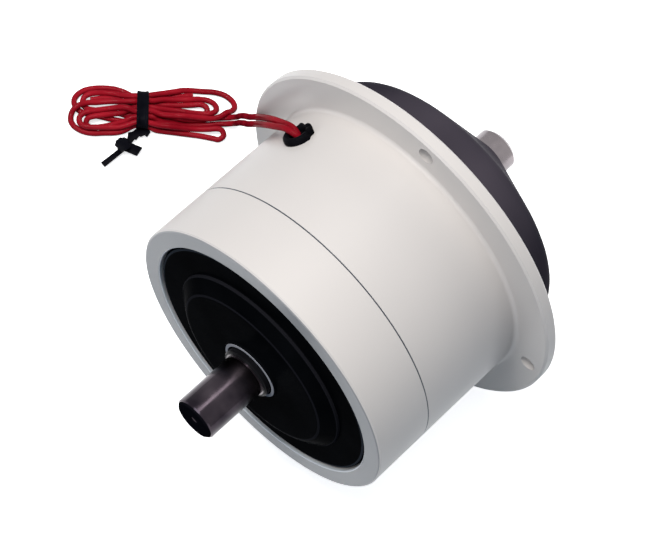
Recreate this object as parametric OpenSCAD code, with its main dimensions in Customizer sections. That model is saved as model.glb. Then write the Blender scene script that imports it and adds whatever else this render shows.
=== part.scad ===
// Magnetic powder clutch with a flange-mounted field housing, a shaft at each end and two tied lead wires.
// The axis runs along Y. The flange's rear face is the plane y = 0, and the front rim faces -Y.
// Distances written as "ahead" are measured from that plane towards the front, in millimetres.

/* [Housing] */
// Diameter of the round body
body_d = 102; // [100:0.5:106]
// Length of the body in front of the flange
body_l = 61.8; // [58:0.2:70]
// Length of the front ring, in front of the seam
ring_l = 21.6; // [20:0.2:24]
// Thickness of the body's side wall
wall_t = 5; // [4.5:0.1:5.5]
// Width of the front rim's flat face
rim_w = 6.7; // [6:0.1:8]
// Depth of the open mouth behind the front rim
mouth_depth = 11.5; // [10.5:0.1:13]
// Bevel along the outer edges
edge_bevel = 0.7; // [0.4:0.1:1]
// Bevel on each side of the seam
seam_bevel = 0.3; // [0.2:0.1:0.6]
// Depth of the spigot that centres the front ring
register_h = 2.5; // [1.5:0.1:3]

/* [Flange] */
// Diameter of the mounting flange
flange_d = 127; // [125:0.5:136]
// Thickness of the mounting flange
flange_t = 4.7; // [4:0.1:7]
// Radius of the blend where the body meets the flange
foot_blend = 1.5; // [0.8:0.1:2]
// Diameter of the bolt circle
bolt_pcd = 116; // [114:0.5:118]
// Diameter of each bolt hole
bolt_hole_d = 5.5; // [4.5:0.1:6]
// Number of bolt holes
bolt_count = 4; // [3:1:8]

/* [Magnet] */
// Thickness of each pole web
pole_t = 6; // [5:0.1:7]
// Diameter of the bore through the poles
pole_bore_d = 66; // [65:0.5:68]
// Running gap between the poles and the drum
air_gap = 0.5; // [0.3:0.05:0.8]
// Thickness of the bobbin's walls
bobbin_t = 1.2; // [0.8:0.1:1.6]
// Space left between the winding and the side wall
winding_space = 1.5; // [1.3:0.1:3]

/* [Drum and rotor] */
// Thickness of the drum's wall
drum_wall = 5.5; // [5:0.1:6]
// Length of the drum's non-magnetic middle ring
drum_middle_l = 16; // [12:0.5:20]
// How far the drum reaches past each pole web
drum_past = 1; // [0.5:0.1:1.5]
// Gap between drum and rotor that holds the powder
powder_gap = 1.5; // [1.2:0.1:2]
// Thickness of the rotor's rim
rotor_rim_t = 4; // [3:0.1:5]
// Thickness of the rotor's web
rotor_web_t = 6; // [4:0.5:9]
// Diameter of the rotor's hub
rotor_hub_d = 26; // [25:0.5:30]
// Thickness of the shields that keep the powder in
shield_t = 1; // [0.8:0.1:1.5]

/* [Front disc] */
// Running gap between the front disc and the rim
disc_gap = 0.5; // [0.3:0.1:1]
// How far the disc's outer face lies behind the front rim
disc_inset = 0.8; // [0.4:0.1:1.5]
// Thickness of the disc at its rim
disc_rim_t = 8; // [6:0.5:9]
// Diameter of the step at the foot of the dome
dome_foot_d = 67.4; // [66:0.2:72]
// Diameter of the dome's flat top
dome_top_d = 57.4; // [50:0.2:60]
// Thickness of the disc round its hub, behind the outer face
disc_web_t = 5; // [4:0.1:6]
// Height of the small step at the foot of the dome
step_h = 1; // [0.5:0.1:1.5]
// Height of the dome over the disc's outer face
dome_h = 4.2; // [3:0.1:5]
// Width of the raised lip round the hub
lip_w = 0.9; // [0.6:0.1:1.5]
// Height of the raised lip over the dome
lip_h = 0.8; // [0.4:0.1:1.2]

/* [Shafts] */
// Diameter of both shaft ends
shaft_d = 15; // [12:0.5:15]
// How far the front shaft stands out of the front rim
front_shaft_l = 28.2; // [24:0.2:40]
// How far the rear shaft stands out of the rear cover
rear_shaft_l = 7.3; // [6:0.1:20]
// Bevel on the shaft ends
shaft_bevel = 1; // [0.5:0.1:1.5]
// Diameter of the shafts inside their hubs
seat_d = 16; // [15.5:0.1:16.4]
// Diameter of the journal in the pilot bush
pilot_d = 10; // [8:0.5:11]
// Running clearance in the pilot bush, on the radius
pilot_play = 0.03; // [0.02:0.01:0.08]
// Length of the pilot bush
bush_l = 8; // [6:0.5:8.5]
// Wall of the pilot bush
bush_wall = 3.5; // [3.2:0.1:4]

/* [Rear cover] */
// Diameter of the cover where it meets the flange
cover_d = 100; // [98:0.5:101]
// Length of the cover's side, behind the flange
cover_side_l = 14.7; // [13:0.1:18]
// Taper of the cover's side, on the radius
cover_taper = 0.5; // [0:0.1:1.5]
// Angle of the cover's cone to the flange
cone_angle = 30; // [28:0.5:33]
// Wall of the cover
cover_wall = 4; // [3:0.1:5]
// Thickness of each rib inside the cover
rib_t = 4; // [3:0.5:6]
// Number of ribs inside the cover
rib_count = 6; // [4:1:8]
// Depth of the cover's spigot in the housing
spigot_h = 5; // [4:0.1:6]
// Wall of the cover's end behind the rear bearing
end_wall = 6; // [5.5:0.1:7]

/* [Bearings] */
// Bore of the output shaft's bearings
small_bore = 17; // [17:0.5:18]
// Outer diameter of the output shaft's bearings
small_od = 26; // [25:0.5:26]
// Width of the output shaft's bearings
small_w = 5; // [5:0.1:6]
// Ball diameter in the output shaft's bearings
small_ball = 2.8; // [2.4:0.1:3]
// Bore of the drum's bearing
large_bore = 35; // [34:0.5:36]
// Outer diameter of the drum's bearing
large_od = 47; // [46:0.5:48]
// Width of the drum's bearing
large_w = 7; // [6:0.1:8]
// Ball diameter in the drum's bearing
large_ball = 3.5; // [3:0.1:3.8]

/* [Leads] */
// Diameter of each lead wire
lead_d = 2.1; // [2.1]
// Distance of the grommet ahead of the flange's rear face
lead_at = 18; // [18]
// Angle of the grommet round the axis, from the top towards -X
lead_angle = 45; // [45]
// Diameter of the grommet's head
grommet_d = 10; // [9:0.5:12]
// Height of the grommet's head
grommet_h = 2.2; // [1.5:0.1:2.6]
// Diameter of the grommet's neck in the housing wall
grommet_neck_d = 7.2; // [6.4:0.1:8]

/* [Hidden] */

// Facets of the round solids, and of the small ones
round_fn = 96;
small_fn = 32;
// A small overlap that joins solids or lets a cut pass right through
over = 0.5;

// Radii of the housing
body_r = body_d / 2;
flange_r = flange_d / 2;
inside_r = body_r - wall_t;
register_r = body_r - wall_t / 2;
mouth_r = body_r - rim_w;
pole_r = pole_bore_d / 2;
// Stations of the housing, ahead of the flange's rear face
rim = flange_t + body_l;
seam = rim - ring_l;
rear_web_back = spigot_h;
rear_web_front = rear_web_back + pole_t;
front_web_front = rim - mouth_depth;
front_web_back = front_web_front - pole_t;

// Coil
bobbin_play = 0.2;
winding_r = inside_r - winding_space;

// Drum, from its rear end to its front end
drum_r = pole_r - air_gap;
drum_in = drum_r - drum_wall;
drum_back = rear_web_back - drum_past;
drum_end = front_web_front + drum_past;
drum_centre = (drum_back + drum_end) / 2;
middle_back = drum_centre - drum_middle_l / 2;
middle_front = drum_centre + drum_middle_l / 2;

// Front disc
disc_r = mouth_r - disc_gap;
disc_face = rim - disc_inset;
disc_back = disc_face - disc_rim_t;
dome_foot = disc_face + step_h;
dome_top = disc_face + dome_h;
edge_round = 1;
dome_round = 0.6;
step_slope = 0.3;
spigot_l = 3;
spigot_back = drum_end - spigot_l;
collar_w = 1;
collar_r = seat_d / 2 + collar_w;
collar_h = 2;
collar_bevel = 0.5;
collar_space = 0.5;
lip_in = collar_r + collar_space;
lip_out = lip_in + lip_w;
collar_end = dome_top + lip_h + collar_h;
bush_space = 0.5;
bush_r = pilot_d / 2 + bush_wall;
bush_back = spigot_back + bush_space;
bush_front = bush_back + bush_l;
hub_wall = 4.5;
spigot_wall = 3;
relief_in = bush_r + hub_wall;
relief_out = drum_in - spigot_wall;
relief_front = disc_face - disc_web_t;
centre_r = 1.6;

// Bearings: parts that both sizes share
race_part = 0.31;
ball_play = 0.04;
cage_t = 0.9;
cage_rim = 0.6;
pocket_play = 0.2;
clip_t = 1.1;
clip_depth = 0.6;
clip_wall = 1.6;
clip_gap = 5;
// Drum's bearing, and the end plate that carries it
large_pitch = (large_bore + large_od) / 4;
large_race = (large_od - large_bore) / 2 * race_part;
large_count = 16;
plate_lip = 1.5;
plate_lip_t = 1;
plate_front = drum_back;
shield_seat_w = 1;
rear_shield_back = plate_front - shield_t;
shield_space = 3;
rear_shield_in = large_bore / 2 + shield_space;
rear_shield_out = large_od / 2 + shield_seat_w;
large_back = rear_shield_back - large_w;
plate_back = large_back - plate_lip_t;

// Rear cover
cover_seat = 0.8;
cover_r = cover_d / 2;
shoulder_r = cover_r - cover_taper;
shoulder_reach = 5;
end_lip = 1;
apex_r = seat_d / 2 + end_lip;
apex = -cover_side_l - (shoulder_r - apex_r) * tan(cone_angle);
end_play = 0.4;
end_bore_r = seat_d / 2 + end_play;
felt_t = 1.2;
felt_w = 2;
felt_play = 0.05;
felt_wall = 1.5;
felt_back = apex + felt_wall;
shaft_step = 0.3;
side_in = shoulder_r - cover_wall;
ledge_space = 3.5;
ledge_in = drum_r + ledge_space;
ledge_t = 8;
ledge_back = spigot_h - ledge_t;
hub_shoulder = 1.5;
hub_r = large_bore / 2 + hub_shoulder;
rib_space = 2;
rib_drop = 6;
cone_shift = cover_wall / cos(cone_angle);
function cone_at(r) = -cover_side_l - (shoulder_r - r) * tan(cone_angle);

// Output shaft's bearings in the cover
small_pitch = (small_bore + small_od) / 4;
small_race = (small_od - small_bore) / 2 * race_part;
small_count = 14;
nose_l = 5;
nose_front = large_back + large_w + nose_l;
nose_lip = 2.5;
rear_bearing_at = apex + end_wall;
front_bearing_at = nose_front - nose_lip - small_w;

// Rotor and its shaft
rotor_play = 1.5;
rotor_r = drum_in - powder_gap;
rotor_in = rotor_r - rotor_rim_t;
front_shield_back = spigot_back - shield_t;
front_shield_play = 0.5;
rotor_back = plate_front + rotor_play + rotor_play;
rotor_front = front_shield_back - rotor_play;
powder_play = 0.1;
hub_space = 1;
hub_back = nose_front + hub_space;
hub_inset = 4;
hub_front = rotor_front - hub_inset;
shaft_shoulder = 1.5;
mid_shaft_r = small_bore / 2 + shaft_shoulder;
spacer_wall = 1.6;
key_w = 5;
key_h = 5;
key_l = 20;
pilot_space = 0.5;
pilot_end = bush_front - pilot_space;

// Screws: countersunk, and their circles
screw_d = 4;
screw_head_d = 8;
screw_count = 4;
screw_short = 1;
screw_circle_r = (ledge_in + side_in) / 2;
small_screw_d = 3;
small_head_d = 5.4;
small_screw_reach = 6;
small_screw_space = 1;
small_screw_count = 6;
small_screw_circle_r = (drum_in + drum_r) / 2;

// Grommet
grommet_seat = 2;
grommet_edge = 1.2;
// Distance of each lead from the grommet's middle, and the hole that it fills
lead_gap = 1.2;
lead_play = 0.05;

// The bench on which the hank lies, and the hank's place and outline on it
bench = -63.5;
hank_at = [-109.5, -7];
hank_turn = 45;
hank_h = 5;
hank_waist_r = 7;
left_lobe = [[-17, -0.8, 9.9]];
right_lobe = [[18, -0.3, 9.7], [28, 3.5, 5.8], [29.3, -8, 2.8]];
// Cable tie
strap_t = 1.1;
strap_w = 4;
strap_play = 0.05;
tie_head = [5.6, 3.6, 4];
tie_head_at = [-6.2, -13.2];
tie_head_turn = -27;
tie_neck_w = 3.6;
tie_neck_l = 6;
tie_neck_at = [-0.2, -7.9];
tie_neck_turn = 250;
tie_tail_w = 2.2;
tie_tail_l = 9;
tie_tail_at = [-8.2, -14.5];
tie_tail_turn = 235;

// Middle line of the pair of leads, from inside the housing wall to the hank
pair_route = [[-32, -18, 32], [-33.5, -18, 33.5], [-35, -18, 35], [-37, -18, 36.2], [-39.4, -18, 36.2],
    [-41.4, -17.8, 35], [-43.5, -17.6, 32.9], [-45.5, -17.4, 30.7],
    [-47.3, -17.2, 28.7], [-48.8, -16.8, 26.6], [-50.4, -16.3, 24.1], [-52.6, -15.1, 19.9],
    [-54.8, -13.2, 14.6], [-57.6, -10.9, 8], [-60.5, -8.8, 1.5], [-63.3, -6.9, -4.8], [-66.2, -4.6, -11.4],
    [-69, -1.8, -18.4], [-71.8, 1.1, -25.7], [-74.6, 4.1, -33.2], [-77.2, 7, -40.4], [-79.7, 9.6, -47.2],
    [-81.6, 11.6, -52.5], [-83, 13, -56.4], [-83.9, 13.5, -58.4], [-85.4, 13.1, -60.2], [-87, 12, -61.4],
    [-88.7, 10.4, -61.9], [-91, 7.5, -62.1], [-93, 5, -62.1]];
// How far the pair is turned about its middle line, at each of those points
pair_turn = [75, 75, 75, 75, 75, 72, 62, 52, 44, 38, 34, 30, 26, 22, 18, 15, 12, 10, 8, 6, 6, 6, 8, 12, 15,
    18, 21, 24, 24, 24];
// A direction that the route never runs along, from which the pair's turn is counted
pair_up = [-0.67, 0.62, 0.41];

// Places a shape whose own Z runs along the axis, ahead of the flange
module along_axis() {
    rotate([90, 0, 0]) children();
}

// Turns an outline of [radius, ahead] round the axis
module turned(points, fn = round_fn) {
    along_axis() rotate_extrude($fn = fn) polygon(points);
}

// A plain ring from one station to the next
module ring(inner_r, outer_r, back, front, fn = round_fn) {
    turned([[inner_r, back], [outer_r, back], [outer_r, front], [inner_r, front]], fn);
}

// Repeats a shape round the axis, the first copy at the top
module around(count) {
    for (k = [0:count - 1])
        rotate([0, 0, k * 360 / count]) children();
}

// Points of a round stretch about a centre, between two angles
function arc(centre, r, from, to, steps = 5) =
    [for (k = [0:steps]) let (t = from + (to - from) * k / steps) centre + r * [cos(t), sin(t)]];

// Points of a smooth corner that starts and ends at a reach from the sharp one
function soft_corner(a, corner, b, steps = 6) =
    [for (k = [0:steps]) let (t = k / steps) a * (1 - t) * (1 - t) + corner * 2 * t * (1 - t) + b * t * t];

// Field housing: flange, side wall and rear pole web in one turned piece
module rear_housing() {
    color("antiquewhite") along_axis() difference() {
        rotate_extrude($fn = round_fn) polygon(concat(
            [[flange_r - edge_bevel, 0], [flange_r, edge_bevel], [flange_r, flange_t - edge_bevel],
                [flange_r - edge_bevel, flange_t]],
            arc([body_r + foot_blend, flange_t + foot_blend], foot_blend, 270, 180),
            [[body_r, seam - seam_bevel], [body_r - seam_bevel, seam], [register_r, seam],
                [register_r, seam - register_h], [inside_r, seam - register_h],
                [inside_r, rear_web_front], [pole_r, rear_web_front], [pole_r, rear_web_back],
                [inside_r, rear_web_back], [inside_r, cover_seat], [cover_r, cover_seat], [cover_r, 0]]));
        around(bolt_count)
            translate([0, bolt_pcd / 2, -over])
                cylinder(d = bolt_hole_d, h = flange_t + 2 * over, $fn = small_fn);
        rotate([0, 0, 45]) around(screw_count) translate([0, screw_circle_r, 0]) {
            translate([0, 0, rear_web_back - over])
                cylinder(d = screw_d, h = pole_t + 2 * over, $fn = small_fn);
            countersink(rear_web_front, screw_d, screw_head_d);
        }
        rotate([0, 0, lead_angle]) translate([0, inside_r - over, lead_at]) rotate([-90, 0, 0])
            cylinder(d = grommet_neck_d, h = wall_t + 2 * over, $fn = small_fn);
    }
}

// Cone of a countersunk head whose wide end lies at a station and faces the front
module countersink(face, shank_d, head_d) {
    depth = (head_d - shank_d) / 2;
    translate([0, 0, face - depth]) cylinder(d1 = shank_d, d2 = head_d, h = depth, $fn = small_fn);
}

// Front ring: rim, mouth and front pole web, centred by a spigot at the seam
module front_ring() {
    inner_bevel = edge_bevel / 2;
    color("antiquewhite") turned([[body_r - seam_bevel, seam], [body_r, seam + seam_bevel],
        [body_r, rim - edge_bevel], [body_r - edge_bevel, rim], [mouth_r + inner_bevel, rim],
        [mouth_r, rim - inner_bevel], [mouth_r, front_web_front], [pole_r, front_web_front],
        [pole_r, front_web_back], [inside_r, front_web_back], [inside_r, seam - register_h],
        [register_r, seam - register_h], [register_r, seam]]);
}

// Bobbin between the two pole webs
module coil_bobbin() {
    back = rear_web_front + bobbin_play;
    front = front_web_back - bobbin_play;
    inner = pole_r + bobbin_play;
    outer = inside_r - bobbin_play;
    color("ivory") turned([[inner, back], [outer, back], [outer, back + bobbin_t],
        [inner + bobbin_t, back + bobbin_t], [inner + bobbin_t, front - bobbin_t],
        [outer, front - bobbin_t], [outer, front], [inner, front]]);
}

// Copper winding on the bobbin
module coil_winding() {
    color("peru") ring(pole_r + bobbin_play + bobbin_t, winding_r,
        rear_web_front + bobbin_play + bobbin_t, front_web_back - bobbin_play - bobbin_t);
}

// Rear cover: side, cone, ledge that is screwed to the housing, and the hub that carries the bearings
module rear_cover() {
    corner = [shoulder_r, -cover_side_l];
    start = corner + shoulder_reach * [0, 1];
    finish = corner - shoulder_reach * [cos(cone_angle), sin(cone_angle)];
    color("dimgray") along_axis() difference() {
        union() {
            rotate_extrude($fn = round_fn) polygon(concat(
                [[cover_r, cover_seat]], soft_corner(start, corner, finish),
                [[apex_r, apex], [end_bore_r, apex], [end_bore_r, rear_bearing_at],
                    [small_od / 2, rear_bearing_at], [small_od / 2, nose_front], [large_bore / 2, nose_front],
                    [large_bore / 2, large_back], [hub_r, large_back], [hub_r, cone_at(hub_r) + cone_shift],
                    [side_in, cone_at(side_in) + cone_shift], [side_in, ledge_back],
                    [ledge_in, ledge_back], [ledge_in, spigot_h], [inside_r, spigot_h],
                    [inside_r, cover_seat]]));
            around(rib_count) rotate([90, 0, 90]) linear_extrude(rib_t, center = true) polygon([
                [hub_r - over, cone_at(hub_r) + over], [side_in + over, cone_at(side_in) + over],
                [side_in + over, plate_back - rib_space - rib_drop], [hub_r - over, plate_back - rib_space]]);
        }
        rotate([0, 0, 45]) around(screw_count) translate([0, screw_circle_r, ledge_back - over])
            cylinder(d = screw_d, h = spigot_h - ledge_back + 2 * over, $fn = small_fn);
        translate([0, 0, front_bearing_at + small_w])
            cylinder(r = small_od / 2 + clip_depth, h = clip_t, $fn = round_fn);
        translate([0, 0, large_back + large_w]) rotate_extrude($fn = round_fn)
            translate([large_bore / 2 - clip_depth, 0]) square([clip_depth + over, clip_t]);
        translate([0, 0, felt_back]) cylinder(r = end_bore_r + felt_t, h = felt_w, $fn = round_fn);
    }
}

// Countersunk screws that hold the cover to the housing's rear web
module cover_screws() {
    tip = ledge_back + screw_short;
    color("silver") along_axis() rotate([0, 0, 45]) around(screw_count) translate([0, screw_circle_r, 0]) {
        translate([0, 0, tip]) cylinder(d = screw_d, h = rear_web_front - tip, $fn = small_fn);
        countersink(rear_web_front, screw_d, screw_head_d);
    }
}

// Felt ring in the cover's end, round the output shaft
module cover_felt_ring() {
    color("tan") ring(seat_d / 2 + felt_play, end_bore_r + felt_t, felt_back, felt_back + felt_w);
}

// Front disc: domed end plate of the drum, with the hub for the front shaft
module front_disc() {
    color([0.09, 0.09, 0.10]) turned(concat(
        [[seat_d / 2, dome_top], [lip_in, dome_top], [lip_in, dome_top + lip_h],
            [lip_out, dome_top + lip_h], [lip_out + lip_h, dome_top]],
        soft_corner([dome_top_d / 2 - edge_round, dome_top], [dome_top_d / 2, dome_top],
            [dome_top_d / 2 + edge_round, dome_top - dome_round], 3),
        [[dome_foot_d / 2, dome_foot], [dome_foot_d / 2 + step_slope, disc_face],
            [disc_r - edge_round, disc_face]],
        arc([disc_r - edge_round, disc_face - edge_round], edge_round, 90, 0, 4),
        [[disc_r, disc_back], [drum_r, disc_back], [drum_r, drum_end], [drum_in, drum_end],
            [drum_in, spigot_back], [relief_out, spigot_back], [relief_out, relief_front],
            [relief_in, relief_front], [relief_in, spigot_back], [bush_r, spigot_back],
            [bush_r, bush_front], [seat_d / 2, bush_front]]));
}

// Front shaft, pressed in the disc's hub
module front_shaft() {
    tip = rim + front_shaft_l;
    back = bush_front + bush_space;
    color("slategray") turned([[0, back], [seat_d / 2, back], [seat_d / 2, collar_end],
        [shaft_d / 2, collar_end], [shaft_d / 2, tip - shaft_bevel], [shaft_d / 2 - shaft_bevel, tip],
        [centre_r, tip], [0, tip - 2 * centre_r]]);
}

// Black collar ring that holds the front shaft's seat against the hub
module shaft_collar() {
    color([0.08, 0.08, 0.08]) turned([[seat_d / 2, dome_top], [collar_r, dome_top],
        [collar_r, collar_end - collar_bevel], [collar_r - collar_bevel, collar_end],
        [seat_d / 2, collar_end]]);
}

// Front steel ring of the drum
module drum_front() {
    color("gray") ring(drum_in, drum_r, middle_front, drum_end);
}

// Non-magnetic middle ring of the drum
module drum_middle() {
    color("goldenrod") ring(drum_in, drum_r, middle_back, middle_front);
}

// Rear steel ring of the drum, tapped for the end plate's screws
module drum_rear() {
    color("gray") along_axis() difference() {
        rotate_extrude($fn = round_fn) polygon([[drum_in, drum_back], [drum_r, drum_back],
            [drum_r, middle_back], [drum_in, middle_back]]);
        around(small_screw_count) translate([0, small_screw_circle_r, drum_back - over])
            cylinder(d = small_screw_d, h = small_screw_reach + small_screw_space + over, $fn = small_fn);
    }
}

// End plate that closes the drum at the rear and holds its bearing
module drum_end_plate() {
    color("silver") along_axis() difference() {
        rotate_extrude($fn = round_fn) polygon([[large_od / 2 - plate_lip, plate_back], [drum_r, plate_back],
            [drum_r, plate_front], [rear_shield_out, plate_front], [rear_shield_out, rear_shield_back],
            [large_od / 2, rear_shield_back], [large_od / 2, large_back],
            [large_od / 2 - plate_lip, large_back]]);
        around(small_screw_count) translate([0, small_screw_circle_r, 0]) {
            translate([0, 0, plate_back - over])
                cylinder(d = small_screw_d, h = plate_front - plate_back + 2 * over, $fn = small_fn);
            mirror([0, 0, 1]) countersink(-plate_back, small_screw_d, small_head_d);
        }
    }
}

// Countersunk screws of the drum's end plate
module drum_screws() {
    color("silver") along_axis() around(small_screw_count) translate([0, small_screw_circle_r, 0]) {
        translate([0, 0, plate_back])
            cylinder(d = small_screw_d, h = plate_front - plate_back + small_screw_reach, $fn = small_fn);
        mirror([0, 0, 1]) countersink(-plate_back, small_screw_d, small_head_d);
    }
}

// Thin shields that keep the powder away from the bearings
module front_shield() {
    color("silver") ring(relief_in + front_shield_play, drum_in, front_shield_back, spigot_back);
}

module rear_shield() {
    color("silver") ring(rear_shield_in, rear_shield_out, rear_shield_back, plate_front);
}

// Iron powder, thrown out against the drum
module magnetic_powder() {
    color([0.25, 0.25, 0.26]) ring(rotor_r + powder_play, drum_in, rotor_back, rotor_front);
}

// Plain bush in the disc's hub, in which the output shaft's end turns
module pilot_bush() {
    color("darkgoldenrod") ring(pilot_d / 2 + pilot_play, bush_r, bush_back, bush_front);
}

// Rotor: rim, web and hub in one piece, keyed to the output shaft
module rotor() {
    web_back = drum_centre - rotor_web_t / 2;
    web_front = drum_centre + rotor_web_t / 2;
    color("gray") along_axis() difference() {
        rotate_extrude($fn = round_fn) polygon([[seat_d / 2, hub_back], [rotor_hub_d / 2, hub_back],
            [rotor_hub_d / 2, web_back], [rotor_in, web_back], [rotor_in, rotor_back], [rotor_r, rotor_back],
            [rotor_r, rotor_front], [rotor_in, rotor_front], [rotor_in, web_front],
            [rotor_hub_d / 2, web_front], [rotor_hub_d / 2, hub_front], [seat_d / 2, hub_front]]);
        translate([-key_w / 2, 0, hub_back - over])
            cube([key_w, seat_d / 2 + key_h / 2, hub_front - hub_back + 2 * over]);
    }
}

// Output shaft, from the pilot journal in front to the stub behind the cover
module output_shaft() {
    tip = apex - rear_shaft_l;
    shoulder = front_bearing_at;
    journal = shoulder + small_w;
    color("lightslategray") along_axis() difference() {
        rotate_extrude($fn = round_fn) polygon([[0, tip], [shaft_d / 2 - shaft_bevel, tip],
            [shaft_d / 2, tip + shaft_bevel], [shaft_d / 2, apex - shaft_step],
            [seat_d / 2, apex - shaft_step], [seat_d / 2, rear_bearing_at], [small_bore / 2, rear_bearing_at],
            [small_bore / 2, rear_bearing_at + small_w], [mid_shaft_r, rear_bearing_at + small_w],
            [mid_shaft_r, shoulder], [small_bore / 2, shoulder], [small_bore / 2, journal],
            [seat_d / 2, journal], [seat_d / 2, hub_front], [seat_d / 2 - clip_depth, hub_front],
            [seat_d / 2 - clip_depth, hub_front + clip_t], [seat_d / 2, hub_front + clip_t],
            [seat_d / 2, hub_front + 2 * clip_t], [pilot_d / 2, hub_front + 2 * clip_t],
            [pilot_d / 2, pilot_end], [0, pilot_end]]);
        translate([-key_w / 2, seat_d / 2 - key_h / 2, drum_centre - key_l / 2]) cube([key_w, key_h, key_l]);
    }
}

// Key between the rotor and its shaft
module rotor_key() {
    color("silver") along_axis() translate([-key_w / 2, seat_d / 2 - key_h / 2, drum_centre - key_l / 2])
        cube([key_w, key_h, key_l]);
}

// Spacer between the front bearing and the rotor's hub
module rotor_spacer() {
    color("silver") ring(seat_d / 2, seat_d / 2 + spacer_wall, front_bearing_at + small_w, hub_back);
}

// Retaining ring with a gap in it, from one radius to another
module circlip(inner_r, outer_r, back) {
    color([0.2, 0.2, 0.21]) along_axis() difference() {
        translate([0, 0, back]) rotate_extrude($fn = round_fn) polygon([[inner_r, 0], [outer_r, 0],
            [outer_r, clip_t], [inner_r, clip_t]]);
        translate([-clip_gap / 2, 0, back - over]) cube([clip_gap, outer_r + over, clip_t + 2 * over]);
    }
}

// Holds the rotor's hub on its shaft
module rotor_circlip() {
    circlip(seat_d / 2 - clip_depth, seat_d / 2 + clip_wall, hub_front);
}

// Holds the front bearing in the cover's nose
module bearing_circlip() {
    circlip(small_od / 2 - clip_wall, small_od / 2 + clip_depth, front_bearing_at + small_w);
}

// Holds the drum's bearing on the cover's nose
module nose_circlip() {
    circlip(large_bore / 2 - clip_depth, large_bore / 2 + clip_wall, large_back + large_w);
}

// Half of a ball bearing's ring section, with its ball race cut out
module race_ring(inner_r, outer_r, pitch_r, ball_d, width, back) {
    color("lightgray") along_axis() translate([0, 0, back]) rotate_extrude($fn = round_fn) difference() {
        translate([inner_r, 0]) square([outer_r - inner_r, width]);
        translate([pitch_r, width / 2]) circle(r = ball_d / 2 + ball_play, $fn = small_fn);
    }
}

// Balls of a bearing
module ball_set(pitch_r, ball_d, count, width, back) {
    color("silver") along_axis() around(count)
        translate([0, pitch_r, back + width / 2]) sphere(d = ball_d, $fn = small_fn);
}

// Cage that spaces a bearing's balls
module ball_cage(pitch_r, ball_d, count, width, back) {
    cage_w = ball_d + 2 * cage_rim;
    color("goldenrod") along_axis() difference() {
        translate([0, 0, back + (width - cage_w) / 2]) rotate_extrude($fn = round_fn)
            translate([pitch_r - cage_t / 2, 0]) square([cage_t, cage_w]);
        around(count) translate([0, pitch_r - cage_t, back + width / 2]) rotate([-90, 0, 0])
            cylinder(d = ball_d + pocket_play, h = 2 * cage_t, $fn = small_fn);
    }
}

module drum_bearing_outer() {
    race_ring(large_od / 2 - large_race, large_od / 2, large_pitch, large_ball, large_w, large_back);
}
module drum_bearing_inner() {
    race_ring(large_bore / 2, large_bore / 2 + large_race, large_pitch, large_ball, large_w, large_back);
}
module drum_bearing_balls() {
    ball_set(large_pitch, large_ball, large_count, large_w, large_back);
}
module drum_bearing_cage() {
    ball_cage(large_pitch, large_ball, large_count, large_w, large_back);
}

module front_bearing_outer() {
    race_ring(small_od / 2 - small_race, small_od / 2, small_pitch, small_ball, small_w, front_bearing_at);
}
module front_bearing_inner() {
    race_ring(small_bore / 2, small_bore / 2 + small_race, small_pitch, small_ball, small_w,
        front_bearing_at);
}
module front_bearing_balls() {
    ball_set(small_pitch, small_ball, small_count, small_w, front_bearing_at);
}
module front_bearing_cage() {
    ball_cage(small_pitch, small_ball, small_count, small_w, front_bearing_at);
}

module rear_bearing_outer() {
    race_ring(small_od / 2 - small_race, small_od / 2, small_pitch, small_ball, small_w, rear_bearing_at);
}
module rear_bearing_inner() {
    race_ring(small_bore / 2, small_bore / 2 + small_race, small_pitch, small_ball, small_w, rear_bearing_at);
}
module rear_bearing_balls() {
    ball_set(small_pitch, small_ball, small_count, small_w, rear_bearing_at);
}
module rear_bearing_cage() {
    ball_cage(small_pitch, small_ball, small_count, small_w, rear_bearing_at);
}

// Rubber grommet in the housing wall, with a hole for each lead
module lead_grommet() {
    top = body_r + grommet_h;
    head_r = grommet_d / 2;
    edge = min(grommet_edge, grommet_h);
    color([0.1, 0.1, 0.11]) along_axis() difference() {
        rotate([0, 0, lead_angle]) translate([0, 0, lead_at]) rotate([-90, 0, 0]) difference() {
            rotate_extrude($fn = small_fn) polygon(concat([[0, inside_r], [grommet_neck_d / 2, inside_r],
                [grommet_neck_d / 2, body_r - grommet_seat], [head_r, body_r - grommet_seat]],
                arc([head_r - edge, top - edge], edge, 0, 90, 4), [[0, top]]));
            for (side = [-1, 1])
                translate([side * lead_gap, 0, inside_r - over])
                    cylinder(r = lead_d / 2 + lead_play, h = wall_t + grommet_h + 2 * over, $fn = small_fn);
        }
        difference() {
            cylinder(r = body_r, h = rim, $fn = round_fn);
            cylinder(r = inside_r - over, h = rim, $fn = round_fn);
            rotate([0, 0, lead_angle]) translate([0, 0, lead_at]) rotate([-90, 0, 0])
                cylinder(d = grommet_neck_d, h = top, $fn = small_fn);
        }
    }
}

function unit(v) = v / norm(v);
// Direction of a route at one of its points
function heading(route, k) = unit(route[min(k + 1, len(route) - 1)] - route[max(k - 1, 0)]);
// Direction square to a heading, turned about it by an angle
function side_of(t, angle) = let (b = unit(cross(t, pair_up))) cos(angle) * cross(b, t) + sin(angle) * b;
// Route of one lead, on one side of the pair's middle line
function lead_route(side) = [for (k = [0:len(pair_route) - 1])
    pair_route[k] + side * lead_gap * side_of(heading(pair_route, k), pair_turn[k])];

// A tube swept along a route
module tube(route, r, sides = 8) {
    count = len(route);
    points = [for (k = [0:count - 1], s = [0:sides - 1])
        route[k] + r * side_of(heading(route, k), s * 360 / sides)];
    walls = [for (k = [0:count - 2], s = [0:sides - 1]) let (n = (s + 1) % sides)
        [k * sides + s, k * sides + n, (k + 1) * sides + n, (k + 1) * sides + s]];
    first = [for (s = [0:sides - 1]) sides - 1 - s];
    last = [for (s = [0:sides - 1]) (count - 1) * sides + s];
    polyhedron(points, concat(walls, [first, last]));
}

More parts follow.
